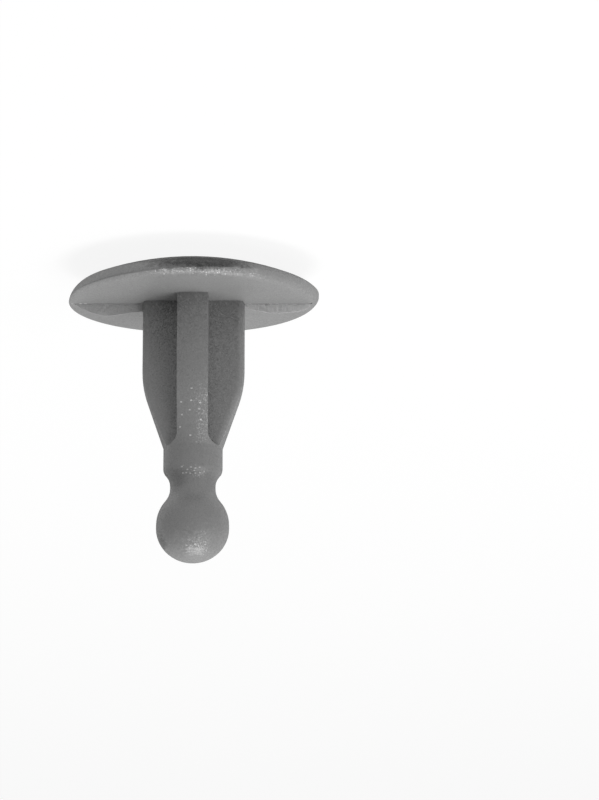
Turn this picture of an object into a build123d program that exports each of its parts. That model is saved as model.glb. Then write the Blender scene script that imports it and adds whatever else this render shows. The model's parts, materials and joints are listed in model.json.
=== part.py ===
"""One-piece push rivet, moulded in two halves, in millimetres.

The rivet stands on its domed head. The origin is the point that it stands on,
+Z runs along the shank to the ball, X lies in the parting plane of the mould,
and the two mould halves open along Y. The ribs that lie in the parting plane
are the side ribs. Heights along the shank are measured from the seat, which is
the flat face of the head that the shank grows out of.
"""

from build123d import *
import math
import os

# Head: a flat dome on a level seat. The rim is thin and nearly sharp towards the
# seat at the +X end and full at the -X end, because neither rounding is centred.
head_diameter = 19.64
head_height = 3.14          # seat to the crown of the dome
rim_height = 0.90           # seat to the edge of the dome, where no rounding takes it off
seat_edge_rounding = 1.05
seat_edge_shift = 0.38      # how far off the axis that rounding is centred
seat_edge_heading = 38.0    # which way it is shifted, from +X towards +Y, in degrees
crown_edge_rounding = 1.8
crown_edge_tilt = 0.7       # leans that rounding about the dome's own centre, in degrees
rim_crease = 0.04           # what the roundings leave standing where they reach the rim

# Shank: four ribs in a cross, running down into a collar.
rib_span = 8.0              # across two ribs, for an 8 mm hole
rib_thickness = 2.4
rib_straight = 5.5          # stretch of full width, from the seat
shoulder_radius = 7.7       # eases the straight stretch into the taper
taper_angle = 19.2          # of the rib edges to the axis, in degrees
side_rib_rounding = 0.6     # outer edges of the side ribs
groove_runout = 0.9         # radius on which a groove turns away from its rib
groove_lip = 0.05           # how far short of the collar the grooves end

# Collar, neck and ball.
collar_diameter = 4.62
collar_end = 13.3           # where the collar starts to round off
collar_rounding = 0.68
neck_diameter = 3.54
neck_rounding = 1.3         # hollow between the collar and the neck
neck_straight = 0.16        # stretch between the two hollows
ball_hollow = 1.6           # hollow between the neck and the ball
ball_diameter = 5.68
ball_land = 0.26            # short cylinder round the middle of the ball
ball_tip_drop = 0.16        # how much lower the tip is than a full ball's

# Flash left by the parting plane: two webs under the head, and a ridge over the dome.
web_thickness = 0.15
thin_end_web_height = 0.95
full_end_web_height = 0.70
ridge_height = 0.10         # at the rim, less towards the crown
ridge_width = 0.80
bite = 0.3                  # how far the shank and the webs run into what carries them

# Free edge of each web: how far out it is, from 0 at the rib to 1 at the rim, and
# its share of the web's height.
thin_end_web = [(0.95, -0.05), (0.81, 0.42), (0.52, 1.00), (0.26, 0.84), (0.03, 0.65)]
full_end_web = [(0.92, -0.20), (0.84, 0.50), (0.62, 0.93), (0.34, 1.00), (0.14, 0.71), (-0.03, 0.07)]

# Ridge along X: how far out it is, from 0 at the crown to 1 at the rim, then how far
# its middle wanders to -Y and half its width there, as shares of the ridge's width.
ridge_line = [
    (-0.98, 0.42, 0.45), (-0.85, 0.30, 0.40), (-0.67, 0.25, 0.25), (-0.51, -0.05, 0.14),
    (-0.33, 0.20, 0.11), (-0.12, 0.06, 0.12), (0.03, -0.12, 0.16), (0.12, 0.31, 0.19),
    (0.28, 0.20, 0.12), (0.47, 0.21, 0.15), (0.67, 0.06, 0.42), (0.79, 0.15, 0.52),
    (0.89, 0.18, 0.40), (0.98, 0.38, 0.20),
]

head_radius = head_diameter / 2
rib_radius = rib_span / 2
half_rib = rib_thickness / 2
collar_radius = collar_diameter / 2
neck_radius = neck_diameter / 2
ball_radius = ball_diameter / 2

# The ridge is the head's own surface, grown from the middle of the seat.
ridge_growth = 1 + ridge_height / head_radius
seat_z = head_height * ridge_growth

# The dome passes through the crown and the edge at the rim's height.
crown_z = seat_z - head_height
dome_rise = head_height - rim_height
dome_radius = (head_radius**2 + dome_rise**2) / (2 * dome_rise)
dome_centre_z = crown_z + dome_radius


def make_crown_side():
    """Dome with its rounded edge, which leans so that it takes more off the +X end."""
    tilt = math.radians(crown_edge_tilt)
    drum_radius = head_radius + rim_crease + (dome_centre_z - seat_z) * math.sin(tilt)
    drum = Cylinder(drum_radius, 2 * dome_radius, align=(Align.CENTER, Align.CENTER, Align.MAX))
    # The ball lies on its side, which keeps its poles away from the ridge.
    ball = Rot(90, 0, 0) * Sphere(dome_radius)
    dome = ball & drum
    dome = fillet(dome.edges().sort_by(Axis.Z)[0], crown_edge_rounding)
    return Pos(0, 0, dome_centre_z) * Rot(0, crown_edge_tilt, 0) * dome


def make_seat_side():
    """Flat seat with its rounded edge, off centre so that it takes least where it heads."""
    ring_radius = head_radius + seat_edge_shift + rim_crease
    rounding_x = ring_radius - seat_edge_rounding
    outline = [
        Line((0, seat_z), (rounding_x, seat_z)),
        CenterArc((rounding_x, seat_z - seat_edge_rounding), seat_edge_rounding, 0, 90),
        Line((ring_radius, seat_z - seat_edge_rounding), (ring_radius, -head_height)),
        Line((ring_radius, -head_height), (0, -head_height)),
        Line((0, -head_height), (0, seat_z)),
    ]
    turned = revolve(Plane.YZ * make_face(outline), Axis.Z)
    return Rot(0, 0, seat_edge_heading) * Pos(seat_edge_shift, 0, 0) * turned


def make_head():
    """The head, where dome, seat and outer wall meet."""
    wall = Cylinder(head_radius, 2 * dome_radius)
    return wall & make_seat_side() & make_crown_side()


# Rib edge: straight, then the shoulder's arc, then the taper. Heights are from the seat.
taper = math.radians(taper_angle)
shoulder_end = (rib_radius - shoulder_radius * (1 - math.cos(taper)),
                rib_straight + shoulder_radius * math.sin(taper))


def taper_height(radius):
    """Height at which the taper, carried on straight, comes down to this radius."""
    return shoulder_end[1] + (shoulder_end[0] - radius) / math.tan(taper)


def rib_edge():
    """Straight stretch and shoulder of a rib's outer edge, as a line and an arc."""
    return [
        Line((rib_radius, -bite), (rib_radius, rib_straight)),
        CenterArc((rib_radius - shoulder_radius, rib_straight), shoulder_radius, 0, taper_angle),
    ]


def make_round_body():
    """Everything round about the axis: rib edges, collar, neck and ball."""
    # Collar to neck is two arcs that meet at the same slope.
    slope = math.acos(1 - (collar_radius - neck_radius) / (collar_rounding + neck_rounding))
    slope_angle = math.degrees(slope)
    neck_start = collar_end + (collar_rounding + neck_rounding) * math.sin(slope)
    # The hollow over the neck touches both the neck and the ball, and so places the ball.
    hollow_x = neck_radius + ball_hollow
    hollow_height = neck_start + neck_straight
    hollow_drop = math.sqrt((ball_radius + ball_hollow)**2 - hollow_x**2)
    ball_centre = hollow_height + hollow_drop
    ball_angle = math.degrees(math.atan2(hollow_drop, hollow_x))
    cap_height = ball_centre + ball_land
    tip_height = cap_height + ball_radius - ball_tip_drop
    # A curve with four poles that follows a quarter of an ellipse.
    pull = 4 / 3 * (math.sqrt(2) - 1)
    tip_pull = cap_height + pull * (tip_height - cap_height)
    outline = rib_edge() + [
        Line(shoulder_end, (collar_radius, taper_height(collar_radius))),
        Line((collar_radius, taper_height(collar_radius)), (collar_radius, collar_end)),
        CenterArc((collar_radius - collar_rounding, collar_end), collar_rounding, 0, slope_angle),
        CenterArc((neck_radius + neck_rounding, neck_start), neck_rounding, 180, slope_angle),
        Line((neck_radius, neck_start), (neck_radius, hollow_height)),
        CenterArc((hollow_x, hollow_height), ball_hollow, 180 - ball_angle, ball_angle),
        CenterArc((0, ball_centre), ball_radius, -ball_angle, ball_angle),
        Line((ball_radius, ball_centre), (ball_radius, cap_height)),
        Bezier((ball_radius, cap_height), (ball_radius, tip_pull),
               (pull * ball_radius, tip_height), (0, tip_height)),
        Line((0, tip_height), (0, -bite)),
        Line((0, -bite), (rib_radius, -bite)),
    ]
    return revolve(Plane.XZ * make_face(outline), Axis.Z)


def make_groove_cut(sign):
    """What is cleared beside the front and back ribs, right through along Y."""
    groove_end = taper_height(collar_radius) - groove_lip
    turn_height = groove_end - groove_runout
    reach = rib_radius + groove_runout
    outline = [
        Line((half_rib, -bite), (half_rib, turn_height)),
        CenterArc((half_rib + groove_runout, turn_height), groove_runout, 90, 90),
        Line((half_rib + groove_runout, groove_end), (reach, groove_end)),
        Line((reach, groove_end), (reach, -bite)),
        Line((reach, -bite), (half_rib, -bite)),
    ]
    cut = extrude(Plane.XZ * make_face(outline), reach, both=True)
    return cut if sign > 0 else mirror(cut, Plane.YZ)


def make_side_ribs():
    """Flat blade in the parting plane with rounded outer edges, down into the collar."""
    # It ends inside the collar, where its corners are covered.
    tip_radius = math.sqrt(collar_radius**2 - half_rib**2)
    outline = rib_edge() + [
        Line(shoulder_end, (tip_radius, taper_height(tip_radius))),
        Line((tip_radius, taper_height(tip_radius)), (0, taper_height(tip_radius))),
        Line((0, taper_height(tip_radius)), (0, -bite)),
        Line((0, -bite), (rib_radius, -bite)),
    ]
    blade = extrude(Plane.XZ * make_face(outline), half_rib, both=True)
    outer_edges = [edge for edge in blade.edges()
                   if abs(edge.center().Y) > half_rib / 2
                   and edge.center().X > tip_radius and edge.center().Z > 0]
    blade = fillet(outer_edges, side_rib_rounding)
    return blade + mirror(blade, Plane.YZ)


def make_shank():
    """Ribbed shank, collar, neck and ball, standing on the seat."""
    round_body = make_round_body()
    ribs = make_side_ribs() & round_body
    shank = round_body - make_groove_cut(1) - make_groove_cut(-1) + ribs
    return Pos(0, 0, seat_z) * shank


def make_web(free_edge, web_height, sign):
    """Thin web on the seat, from a rib out towards the rim."""
    points = [(rib_radius + out * (head_radius - rib_radius), share * web_height)
              for out, share in free_edge]
    first, last = points[0], points[-1]
    inner = rib_radius - bite
    outline = [
        Spline(*points),
        Polyline(last, (inner, last[1]), (inner, -bite), (first[0] - bite, -bite), first),
    ]
    web = Pos(0, 0, seat_z) * extrude(Plane.XZ * make_face(outline), web_thickness / 2, both=True)
    return web if sign > 0 else mirror(web, Plane.YZ)


def make_ridge(head):
    """Wavering ridge of flash across the dome, from the rim to the rim."""
    near_edge = [(out * head_radius, (-shift - half) * ridge_width) for out, shift, half in ridge_line]
    far_edge = [(out * head_radius, (-shift + half) * ridge_width) for out, shift, half in ridge_line]
    outline = [
        Spline(*near_edge),
        Line(near_edge[-1], far_edge[-1]),
        Spline(*far_edge),
        Line(far_edge[0], near_edge[0]),
    ]
    band = extrude(make_face(outline), seat_z - rim_height / 2)
    grown = Pos(0, 0, seat_z * (1 - ridge_growth)) * scale(head, ridge_growth)
    return band & grown


def make_push_rivet():
    """The whole rivet as the one solid that it is."""
    head = make_head()
    rivet = head + make_shank()
    rivet += make_web(thin_end_web, thin_end_web_height, 1)
    rivet += make_web(full_end_web, full_end_web_height, -1)
    rivet += make_ridge(head)
    return rivet


os.makedirs("parts", exist_ok=True)
push_rivet = make_push_rivet()
push_rivet.label = "push_rivet"
export_step(push_rivet, "parts/push_rivet.step")
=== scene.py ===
"""Studio picture of a one-piece plastic push rivet that stands on its domed head.

The rivet is one grey moulding. Its head rests on the floor, the ribbed shank
points straight up, and the camera looks down on it from the front, turned
upside down, so that the head is at the top of the picture. Everything is in
metres, in the part's own frame: +Z up the shank, X along the mould's parting
line, the front of the rivet at -Y.
"""

import json
import logging
import math
from dataclasses import dataclass
from enum import Enum
from typing import Any

import bmesh
import bpy
from mathutils import Matrix, Vector

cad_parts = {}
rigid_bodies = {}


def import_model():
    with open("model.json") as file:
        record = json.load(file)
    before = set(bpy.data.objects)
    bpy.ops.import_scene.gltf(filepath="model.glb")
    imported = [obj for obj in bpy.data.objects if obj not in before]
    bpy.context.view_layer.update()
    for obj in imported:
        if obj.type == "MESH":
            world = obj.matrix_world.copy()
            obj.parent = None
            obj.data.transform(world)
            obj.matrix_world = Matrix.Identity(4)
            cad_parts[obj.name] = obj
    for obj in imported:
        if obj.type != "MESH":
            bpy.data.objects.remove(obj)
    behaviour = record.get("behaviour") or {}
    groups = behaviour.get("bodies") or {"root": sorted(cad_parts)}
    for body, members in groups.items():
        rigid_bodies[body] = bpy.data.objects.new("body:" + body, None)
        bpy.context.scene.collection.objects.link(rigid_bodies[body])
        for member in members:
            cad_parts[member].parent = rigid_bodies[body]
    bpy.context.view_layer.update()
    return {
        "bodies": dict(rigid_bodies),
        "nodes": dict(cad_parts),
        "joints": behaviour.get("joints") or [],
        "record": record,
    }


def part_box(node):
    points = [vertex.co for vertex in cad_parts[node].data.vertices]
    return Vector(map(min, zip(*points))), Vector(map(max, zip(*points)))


MM = 0.001
IMAGE_WIDTH = 599
IMAGE_HEIGHT = 800

log = logging.getLogger("push_rivet")


class Tone(Enum):
    """Colours of the picture, as sRGB hex."""

    PLASTIC = "#808080"
    CLOUD = "#767676"
    # Painted light shining through thin flash, and a painted highlight on its free edge.
    FLASH_GLOW = "#CBCBCB"
    # Dark patches: painted shade and a painted dark reflection, and one darker patch on the ball.
    DARK_PATCH = "#121212"
    # Bright specks: mostly painted glints, a few real nicks on the front rib.
    NICK_AND_GLINT = "#B4B4B4"
    BOARD = "#EFEFEF"
    WHITE = "#FFFFFF"


def linear(hex_colour: str) -> tuple[float, float, float, float]:
    """Turns an sRGB hex colour into the linear one that shaders take.

    Args:
        hex_colour: Six hex digits, with or without a leading hash.

    Returns:
        Red, green, blue and an alpha of 1.
    """
    digits = hex_colour.lstrip("#")
    channels = [int(digits[i:i + 2], 16) / 255 for i in (0, 2, 4)]
    red, green, blue = [c / 12.92 if c <= 0.04045 else ((c + 0.055) / 1.055) ** 2.4 for c in channels]
    return red, green, blue, 1.0


def add_node(
    tree: bpy.types.NodeTree, kind: str, settings: dict[str, Any] | None = None, **inputs: Any
) -> bpy.types.Node:
    """Adds one shader node, sets it and links it.

    Args:
        tree: The node tree that gets the node.
        kind: The node's type name, such as ShaderNodeBump.
        settings: Properties of the node by name.
        **inputs: Input sockets by name with underscores for spaces, or by
            number as in i0. A node socket is linked and any other value is set.

    Returns:
        The new node.
    """
    node = tree.nodes.new(kind)
    for name, value in (settings or {}).items():
        setattr(node, name, value)
    for name, value in inputs.items():
        numbered = name[0] == "i" and name[1:].isdigit()
        socket = node.inputs[int(name[1:])] if numbered else node.inputs[name.replace("_", " ")]
        if isinstance(value, bpy.types.NodeSocket):
            tree.links.new(value, socket)
        else:
            socket.default_value = value
    return node


def new_material(name: str) -> bpy.types.Material:
    """Makes a material with an empty node tree.

    Args:
        name: The material's name.

    Returns:
        The material.
    """
    material = bpy.data.materials.new(name)
    material.use_nodes = True
    material.node_tree.nodes.clear()
    return material


def seen_plainly(tree: bpy.types.NodeTree) -> bpy.types.NodeSocket:
    """Tells rays that see the white surroundings from rays that only light the rivet.

    Args:
        tree: The node tree that asks.

    Returns:
        1 for camera, glossy and transmission rays, and 0 for the others.
    """
    rays = add_node(tree, "ShaderNodeLightPath").outputs
    seen = add_node(
        tree, "ShaderNodeMath", {"operation": "ADD"}, i0=rays["Is Camera Ray"], i1=rays["Is Glossy Ray"]
    )
    seen = add_node(
        tree, "ShaderNodeMath", {"operation": "ADD", "use_clamp": True},
        i0=seen.outputs[0], i1=rays["Is Transmission Ray"],
    )
    return seen.outputs[0]


def combine(
    tree: bpy.types.NodeTree, operation: str, first: Any, second: Any = 0.0, third: Any = 0.0
) -> bpy.types.NodeSocket:
    """Adds one maths node.

    Args:
        tree: The node tree that gets the node.
        operation: The node's operation, such as MULTIPLY.
        first: First operand, a socket or a number.
        second: Second operand.
        third: Third operand.

    Returns:
        The result.
    """
    node = add_node(tree, "ShaderNodeMath", {"operation": operation}, i0=first, i1=second, i2=third)
    return node.outputs[0]


@dataclass(frozen=True)
class DarkPatch:
    """A dark patch with a ragged edge, as an ellipsoid in the part's frame.

    Attributes:
        middle: Its middle in mm.
        reach: Its half lengths in mm.
        strength: How much of the plastic's own grey it hides, 0 to 1.
        fraying: How far the noise moves the edge, as a share of the reach.
        solid: Frayed distance up to which the mark is whole.
        faded: Frayed distance from which it is gone.
    """

    middle: tuple[float, float, float]
    reach: tuple[float, float, float]
    strength: float
    fraying: float = 0.9
    solid: float = 1.0
    faded: float = 1.7

    def build(
        self, tree: bpy.types.NodeTree, place: bpy.types.NodeSocket, ragged: bpy.types.NodeSocket
    ) -> bpy.types.NodeSocket:
        """Makes the mark's mask.

        Args:
            tree: The material's node tree.
            place: Object coordinates.
            ragged: Noise that frays the edge.

        Returns:
            The mask, 0 off the mark.
        """
        offset = add_node(
            tree, "ShaderNodeVectorMath", {"operation": "SUBTRACT"}, i0=place,
            i1=[value * MM for value in self.middle],
        )
        share = add_node(
            tree, "ShaderNodeVectorMath", {"operation": "DIVIDE"}, i0=offset.outputs[0],
            i1=[value * MM for value in self.reach],
        )
        length = add_node(tree, "ShaderNodeVectorMath", {"operation": "LENGTH"}, i0=share.outputs[0])
        frayed = combine(tree, "MULTIPLY_ADD", ragged, self.fraying, length.outputs["Value"])
        mask = add_node(
            tree, "ShaderNodeMapRange", {"interpolation_type": "SMOOTHSTEP"}, Value=frayed,
            From_Min=self.solid, From_Max=self.faded, To_Min=self.strength, To_Max=0.0,
        )
        return mask.outputs["Result"]


@dataclass(frozen=True)
class NickAndGlintField:
    """Small bright specks, scattered inside a box in the part's frame: mostly painted glints, and some real
    nicks.

    Attributes:
        low: The box's low corner in mm.
        high: The box's high corner in mm.
        spacing: Mean distance between two places for a speck, in mm.
        radius: A speck's radius as a share of the spacing.
        share: The share of places that have a speck.
        stretch: How many times a speck is longer along X than it is high.
    """

    low: tuple[float, float, float]
    high: tuple[float, float, float]
    spacing: float
    radius: float
    share: float
    stretch: float = 1.6

    def build(self, tree: bpy.types.NodeTree, place: bpy.types.NodeSocket) -> bpy.types.NodeSocket:
        """Makes the specks' mask.

        Args:
            tree: The material's node tree.
            place: Object coordinates.

        Returns:
            The mask, 1 on a speck.
        """
        axes = add_node(tree, "ShaderNodeSeparateXYZ", Vector=place).outputs
        level = combine(tree, "MULTIPLY", axes["X"], 1 / self.stretch)
        flat = add_node(tree, "ShaderNodeCombineXYZ", X=level, Y=axes["Z"]).outputs[0]
        cells = add_node(
            tree, "ShaderNodeTexVoronoi", {"voronoi_dimensions": "2D"}, Vector=flat,
            Scale=1 / (self.spacing * MM),
        )
        chance = add_node(tree, "ShaderNodeSeparateXYZ", Vector=cells.outputs["Color"]).outputs[0]
        mask = combine(
            tree, "MULTIPLY", combine(tree, "LESS_THAN", cells.outputs["Distance"], self.radius),
            combine(tree, "LESS_THAN", chance, self.share),
        )
        for axis, low, high in zip(axes, self.low, self.high):
            mask = combine(tree, "MULTIPLY", mask, combine(tree, "GREATER_THAN", axis, low * MM))
            mask = combine(tree, "MULTIPLY", mask, combine(tree, "LESS_THAN", axis, high * MM))
        return mask


@dataclass(frozen=True)
class SparkErodedPlastic:
    """Grey polyamide moulded in a spark-eroded cavity.

    The fine pits of the cavity give it a dull, even face that breaks into
    small bright glints where the light is mirrored. Thin flash is painted
    paler, as painted light that shines through it, and bright specks paint
    more glints, with a few real nicks on the front rib. Dark patches paint a
    dark reflection on the near rim and the ball's shadow under the collar,
    and one darkens a spot on the ball.

    Attributes:
        dull: Roughness of the dullest facet.
        bright: Roughness of the brightest facet.
        edge_dullness: Roughness added where the surface is seen at a glance.
        edge_power: How closely that keeps to the edge.
        facet_width: Width of a facet of the grain.
        facet_tilt: How far a facet's normal is tilted.
        speckle: How far the grey varies from one speckle to the next.
        flash_thickness: Nothing thicker than this counts as flash.
        flash_start: Distance of the flash from the shank's axis.
        flash_facing: How squarely a face looks along Y to be flash's side.
        flash_lip: Share of the paler tone, a painted highlight, on the flash's free edge.
        thick_loss: What the thicker flash at +X loses of the paler tone, as less painted light shines
            through it.
    """

    name: str = "grey_polyamide_spark_eroded"
    dull: float = 0.44
    bright: float = 0.21
    edge_dullness: float = 0.6
    edge_power: float = 3.0
    ior: float = 1.53
    specular_level: float = 0.36
    # The real grain is finer, too fine to show in the render.
    facet_width: float = 0.085 * MM
    facet_tilt: float = 0.35
    pit_width: float = 0.30 * MM
    pit_depth: float = 0.012 * MM
    speckle_width: float = 0.16 * MM
    speckle: float = 0.07
    cloud_width: float = 3.0 * MM
    fray_width: float = 0.45 * MM
    flash_thickness: float = 0.2 * MM
    flash_start: float = 4.02 * MM
    flash_facing: float = 0.5
    flash_lip: float = 0.30
    thick_loss: float = 0.32
    nicks_and_glints: tuple[NickAndGlintField, ...] = (
        # Outside of the front rib, over its taper: real nicks and painted glints.
        NickAndGlintField((-1.0, -4.2, 10.2), (1.0, -2.2, 15.0), 0.46, 0.12, 0.30),
        # Painted glints along the foot of the full end's flash.
        NickAndGlintField((-6.9, -0.17, 3.1), (-4.0, 0.0, 3.30), 0.26, 0.30, 0.55),
        # Painted glints on the thin end's flash, where it meets the rim.
        NickAndGlintField((8.3, -0.30, 2.7), (9.6, 0.0, 3.45), 0.22, 0.28, 0.50),
        # Painted glints along the crest of the head's near edge.
        NickAndGlintField((-7.5, -9.8, 2.72), (5.2, -8.9, 3.155), 0.17, 0.22, 0.30, 1.2),
        # Painted glints on the end of the collar.
        NickAndGlintField((-0.95, -2.5, 16.55), (0.95, -1.0, 17.2), 0.20, 0.24, 0.50),
    )
    dark_patches: tuple[DarkPatch, ...] = (
        # Painted dark reflection on the head's near rim, close to the floor.
        DarkPatch((-0.95, -9.5, 1.6), (5.0, 2.0, 1.3), 1.0),
        # A darker patch on the ball.
        DarkPatch((2.2, -0.8, 22.3), (0.45, 0.8, 0.6), 0.45),
        # Painted shadow of the ball under the collar.
        DarkPatch((1.4, -1.2, 17.5), (1.1, 1.2, 0.8), 0.20),
    )

    def build(self, seat: float) -> bpy.types.Material:
        """Makes the material.

        Args:
            seat: Height of the head's seat, above which thin flash starts.

        Returns:
            The material.
        """
        material = new_material(self.name)
        tree = material.node_tree
        place = add_node(tree, "ShaderNodeTexCoord").outputs["Object"]
        cells = add_node(tree, "ShaderNodeTexVoronoi", Vector=place, Scale=1 / self.facet_width)
        gloss = add_node(tree, "ShaderNodeSeparateXYZ", Vector=cells.outputs["Color"]).outputs[2]
        roughness = combine(tree, "MULTIPLY_ADD", gloss, self.bright - self.dull, self.dull)
        # Seen at a glance the pits hide one another, so the edges stay dull.
        glance = add_node(tree, "ShaderNodeLayerWeight", Blend=0.5).outputs["Facing"]
        glance = combine(tree, "POWER", glance, self.edge_power)
        roughness = combine(tree, "MULTIPLY_ADD", glance, self.edge_dullness, roughness)
        shader = add_node(
            tree, "ShaderNodeBsdfPrincipled",
            Base_Color=self._colour(tree, place, seat), Roughness=roughness, IOR=self.ior,
            Specular_IOR_Level=self.specular_level,
            Normal=self._facets(tree, cells, self._relief(tree, place)),
        )
        add_node(tree, "ShaderNodeOutputMaterial", Surface=shader.outputs["BSDF"])
        return material

    def _relief(self, tree: bpy.types.NodeTree, place: bpy.types.NodeSocket) -> bpy.types.NodeSocket:
        """The wider pits of the cavity.

        Args:
            tree: The material's node tree.
            place: Object coordinates.

        Returns:
            The bumped normal.
        """
        pits = add_node(
            tree, "ShaderNodeTexNoise", Vector=place, Scale=1 / self.pit_width, Detail=2.0, Roughness=0.6
        )
        bump = add_node(
            tree, "ShaderNodeBump", Height=pits.outputs["Fac"], Distance=self.pit_depth, Strength=1.0
        )
        return bump.outputs["Normal"]

    def _facets(
        self, tree: bpy.types.NodeTree, cells: bpy.types.Node, normal: bpy.types.NodeSocket
    ) -> bpy.types.NodeSocket:
        """Tilts every facet of the grain its own way, which gives the glints.

        Args:
            tree: The material's node tree.
            cells: The grain's cells, each with its own random colour.
            normal: The normal before the tilt.

        Returns:
            The tilted normal.
        """
        tilt = add_node(
            tree, "ShaderNodeVectorMath", {"operation": "SUBTRACT"}, i0=cells.outputs["Color"],
            i1=(0.5, 0.5, 0.5),
        )
        small = add_node(
            tree, "ShaderNodeVectorMath", {"operation": "SCALE"}, i0=tilt.outputs[0], Scale=self.facet_tilt
        )
        turned = add_node(
            tree, "ShaderNodeVectorMath", {"operation": "ADD"}, i0=small.outputs[0], i1=normal
        )
        return add_node(
            tree, "ShaderNodeVectorMath", {"operation": "NORMALIZE"}, i0=turned.outputs[0]
        ).outputs[0]

    def _colour(
        self, tree: bpy.types.NodeTree, place: bpy.types.NodeSocket, seat: float
    ) -> bpy.types.NodeSocket:
        """Clouded, speckled grey, with painted light through the flash,
        bright specks of painted glints and a few nicks, and dark patches of
        painted shade and reflection.

        Args:
            tree: The material's node tree.
            place: Object coordinates.
            seat: Height of the head's seat.

        Returns:
            The colour.
        """
        clouds = add_node(
            tree, "ShaderNodeTexNoise", Vector=place, Scale=1 / self.cloud_width, Detail=4.0, Roughness=0.65
        )
        colour = self._mix(tree, clouds.outputs["Fac"], linear(Tone.PLASTIC.value), Tone.CLOUD)
        # Thin flash is painted paler, as painted light shining through it.
        colour = self._mix(tree, self._flash_glow(tree, place, seat), colour, Tone.FLASH_GLOW)
        speckle = add_node(
            tree, "ShaderNodeTexNoise", Vector=place, Scale=1 / self.speckle_width, Detail=2.0, Roughness=0.7
        )
        gain = combine(tree, "MULTIPLY_ADD", speckle.outputs["Fac"], 2 * self.speckle, 1 - self.speckle)
        colour = add_node(
            tree, "ShaderNodeVectorMath", {"operation": "SCALE"}, i0=colour, Scale=gain
        ).outputs[0]
        # Bright specks: painted glints, and a few real nicks on the front rib.
        for field in self.nicks_and_glints:
            colour = self._mix(tree, field.build(tree, place), colour, Tone.NICK_AND_GLINT)
        fray = add_node(
            tree, "ShaderNodeTexNoise", Vector=place, Scale=1 / self.fray_width, Detail=3.0, Roughness=0.6
        )
        # Dark patches: painted shade, a painted dark reflection, and one darker patch on the ball.
        for dark_patch in self.dark_patches:
            colour = self._mix(tree, dark_patch.build(tree, place, fray.outputs["Fac"]), colour, Tone.DARK_PATCH)
        return colour

    @staticmethod
    def _mix(tree: bpy.types.NodeTree, share: Any, under: Any, over: Tone) -> bpy.types.NodeSocket:
        """Lays a tone over a colour.

        Args:
            tree: The material's node tree.
            share: How much of the tone shows, a socket or a number.
            under: The colour underneath, a socket or a linear colour.
            over: The tone.

        Returns:
            The mixed colour.
        """
        return add_node(
            tree, "ShaderNodeMix", {"data_type": "RGBA"}, i0=share, i6=under, i7=linear(over.value)
        ).outputs[2]

    def _flash_glow(
        self, tree: bpy.types.NodeTree, place: bpy.types.NodeSocket, seat: float
    ) -> bpy.types.NodeSocket:
        """Masks the thin webs of flash that stand on the seat in the parting plane, for the paler tone that
        paints light shining through them.

        Args:
            tree: The material's node tree.
            place: Object coordinates.
            seat: Height of the head's seat.

        Returns:
            The mask.
        """
        along, across, up = add_node(tree, "ShaderNodeSeparateXYZ", Vector=place).outputs
        thin = combine(tree, "LESS_THAN", combine(tree, "ABSOLUTE", across), self.flash_thickness / 2)
        outside = combine(tree, "GREATER_THAN", combine(tree, "ABSOLUTE", along), self.flash_start)
        above = combine(tree, "GREATER_THAN", up, seat)
        facing = add_node(tree, "ShaderNodeNewGeometry").outputs["True Normal"]
        facing = add_node(tree, "ShaderNodeSeparateXYZ", Vector=facing).outputs[1]
        face = combine(tree, "GREATER_THAN", combine(tree, "ABSOLUTE", facing), self.flash_facing)
        # The flash's free edge gets part of the paler tone as a painted highlight.
        face = combine(tree, "MULTIPLY_ADD", face, 1 - self.flash_lip, self.flash_lip)
        # The thicker flash at +X gets less of the painted glow.
        thick = combine(tree, "GREATER_THAN", along, 0.0)
        kept = combine(tree, "MULTIPLY_ADD", thick, -self.thick_loss, 1.0)
        mask = thin
        for part in (outside, above, face, kept):
            mask = combine(tree, "MULTIPLY", mask, part)
        return mask


@dataclass(frozen=True)
class PaleBoard:
    """Matt white board, lit evenly enough to look plain white, with a soft shadow.

    Attributes:
        name: The material's name.
        own_shade: Share of the board's own shading, which keeps the shadow.
    """

    name: str = "matt_white_board"
    own_shade: float = 0.10

    def build(self) -> bpy.types.Material:
        """Makes the material."""
        material = new_material(self.name)
        tree = material.node_tree
        board = add_node(tree, "ShaderNodeBsdfDiffuse", Color=linear(Tone.BOARD.value))
        white = add_node(tree, "ShaderNodeEmission", Color=linear(Tone.WHITE.value), Strength=1.0)
        share = add_node(
            tree, "ShaderNodeMath", {"operation": "MULTIPLY"}, i0=seen_plainly(tree), i1=1 - self.own_shade
        )
        mixed = add_node(
            tree, "ShaderNodeMixShader", i0=share.outputs[0], i1=board.outputs[0], i2=white.outputs[0]
        )
        add_node(tree, "ShaderNodeOutputMaterial", Surface=mixed.outputs[0])
        return material


@dataclass
class RivetBody:
    """The moulding itself."""

    node: str = "push_rivet"
    finish: SparkErodedPlastic = SparkErodedPlastic()

    def build(self, frame: dict[str, Any], seat: float) -> bpy.types.Object:
        """Dresses the part.

        Args:
            seat: Height of the head's seat.

        Returns:
            The dressed object.
        """
        body = frame["nodes"][self.node]
        body.data.materials.clear()
        body.data.materials.append(self.finish.build(seat))
        return body


@dataclass(frozen=True)
class Softbox:
    """A square area lamp, aimed at the rivet.

    Attributes:
        name: The lamp's name.
        direction: The way from the rivet to the lamp.
        distance: How far away it hangs.
        size: Length of its sides.
        level: How bright it makes a face-on white surface, 1 for white.
    """

    name: str
    direction: tuple[float, float, float]
    distance: float
    size: float
    level: float

    def build(self, target: Vector) -> bpy.types.Object:
        """Hangs the lamp.

        Args:
            target: The point that it is aimed at.

        Returns:
            The lamp's object.
        """
        lamp = bpy.data.lights.new(self.name, "AREA")
        lamp.shape = "SQUARE"
        lamp.size = self.size
        lamp.energy = self.level * math.pi ** 2 * self.distance ** 2
        away = Vector(self.direction).normalized()
        holder = bpy.data.objects.new(self.name, lamp)
        holder.location = target + away * self.distance
        holder.rotation_euler = away.to_track_quat("Z", "Y").to_euler()
        bpy.context.scene.collection.objects.link(holder)
        return holder


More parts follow.
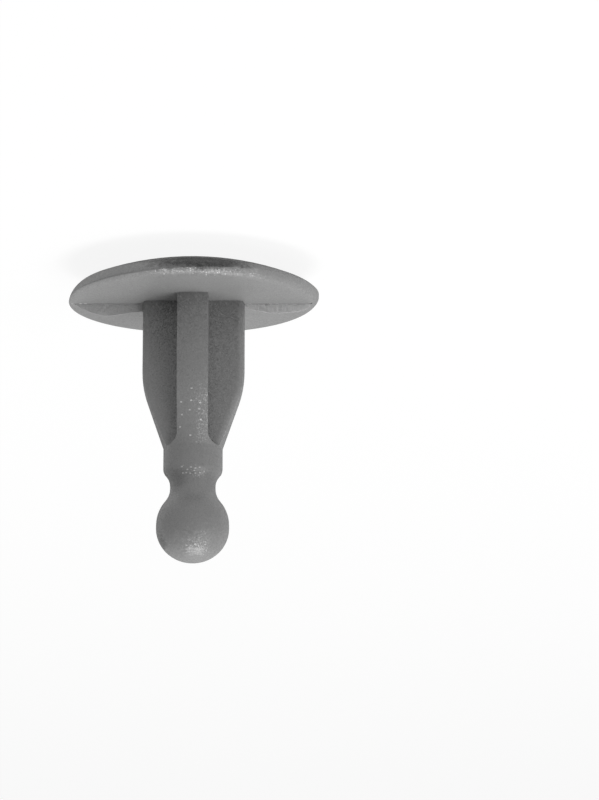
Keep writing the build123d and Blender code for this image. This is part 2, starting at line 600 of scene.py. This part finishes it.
@dataclass
class Studio:
    """Floor, lamps and surrounding light.

    Attributes:
        floor_size: Length of the floor's sides.
        ambient: Level of the light that comes from all round.
        overhead: Soft light from straight above, which makes the ball's highlight.
        key: Light from the front, a little to the side.
        fill: Weak light from low down on the same side.
        board: Finish of the floor.
    """

    floor_size: float = 1.2
    ambient: float = 0.21
    overhead: Softbox = Softbox("overhead_softbox", (-0.14, 0.06, 0.98), 0.34, 0.21, 0.94)
    key: Softbox = Softbox("key_softbox", (-0.46, -0.52, 0.70), 0.35, 0.16, 0.30)
    fill: Softbox = Softbox("low_fill", (-0.80, -0.45, 0.18), 0.35, 0.20, 0.07)
    board: PaleBoard = PaleBoard()

    def build(self, target: Vector) -> None:
        """Builds the floor and lights.

        Args:
            target: The point that the lamps are aimed at.
        """
        sheet = bmesh.new()
        bmesh.ops.create_grid(sheet, x_segments=1, y_segments=1, size=self.floor_size / 2)
        mesh = bpy.data.meshes.new("floor")
        sheet.to_mesh(mesh)
        sheet.free()
        floor = bpy.data.objects.new("floor", mesh)
        bpy.context.scene.collection.objects.link(floor)
        mesh.materials.append(self.board.build())
        for lamp in (self.overhead, self.key, self.fill):
            lamp.build(target)
        self._surround()

    def _surround(self) -> None:
        """Even light from all round, which the camera sees as white."""
        world = bpy.data.worlds.new("surround")
        bpy.context.scene.world = world
        world.use_nodes = True
        tree = world.node_tree
        tree.nodes.clear()
        level = add_node(
            tree, "ShaderNodeMapRange", Value=seen_plainly(tree), To_Min=self.ambient, To_Max=1.0
        )
        light = add_node(
            tree, "ShaderNodeBackground", Color=linear(Tone.WHITE.value), Strength=level.outputs["Result"]
        )
        add_node(tree, "ShaderNodeOutputWorld", Surface=light.outputs[0])


@dataclass
class PhotoCamera:
    """Camera at the photograph's viewing angle, upside down as the rivet hangs in it.

    Attributes:
        azimuth: How far it is swung from the front towards -X.
        elevation: How far it looks down on the seat.
        pixels_per_mm: Scale of the picture at the aim point.
        focal_pixels: Focal length in pixels.
        aim_x: The aim point's place in the picture, from the left.
        aim_y: The aim point's place in the picture, from the top.
        roll: Turn about the line of sight.
        sensor: Sensor height in mm.
    """

    azimuth: float = math.radians(1.6)
    elevation: float = math.radians(14.1)
    pixels_per_mm: float = 12.7125
    focal_pixels: float = 4000.0
    aim_x: float = 194.0
    aim_y: float = 304.2
    roll: float = math.radians(0.40)
    sensor: float = 36.0

    def build(self, aim: Vector) -> bpy.types.Object:
        """Places the camera so that the aim point falls on its pixel.

        Args:
            aim: The middle of the head's seat.

        Returns:
            The camera's object.
        """
        distance = self.focal_pixels / self.pixels_per_mm * MM
        # The camera stands a little to the -X side of the front.
        swing = Matrix.Rotation(-self.azimuth, 3, "Z")
        to_camera = swing @ Vector((0, -math.cos(self.elevation), math.sin(self.elevation)))
        # The picture is upside down, so its right is -X and its top is down the shank.
        right = swing @ Vector((-1, 0, 0))
        top = right.cross(-to_camera).normalized()
        turn = Matrix.Rotation(self.roll, 3, to_camera)
        right, top = turn @ right, turn @ top
        off_right = IMAGE_WIDTH / 2 - self.aim_x
        off_top = self.aim_y - IMAGE_HEIGHT / 2
        forward = (-to_camera * self.focal_pixels + right * off_right + top * off_top).normalized()
        right = forward.cross(top).normalized()
        top = right.cross(forward)
        lens = bpy.data.cameras.new("photo_camera")
        lens.sensor_fit = "VERTICAL"
        lens.sensor_height = self.sensor
        lens.lens = self.focal_pixels / IMAGE_HEIGHT * self.sensor
        lens.clip_start = distance / 100
        holder = bpy.data.objects.new("photo_camera", lens)
        axes = Matrix((right, top, -forward)).transposed().to_4x4()
        holder.matrix_world = Matrix.Translation(aim + to_camera * distance) @ axes
        bpy.context.scene.collection.objects.link(holder)
        bpy.context.scene.camera = holder
        return holder


def main() -> None:
    """Builds the picture."""
    logging.basicConfig(level=logging.INFO, format="%(name)s: %(message)s")
    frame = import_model()
    bpy.context.scene.view_settings.view_transform = "Standard"

    low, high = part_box("push_rivet")
    seat = Vector((0, 0, frame["record"]["mounts"][0]["pos_m"][2]))
    body = RivetBody().build(frame, seat.z)
    log.info("%s: %d faces", body.name, len(body.data.polygons))

    Studio().build(Vector((0, 0, (low.z + high.z) / 2)))
    log.info("studio: floor and lamps")
    PhotoCamera().build(seat)
    log.info("camera: aimed at the seat, %.2f mm up", seat.z / MM)


if __name__ == "__main__":
    main()
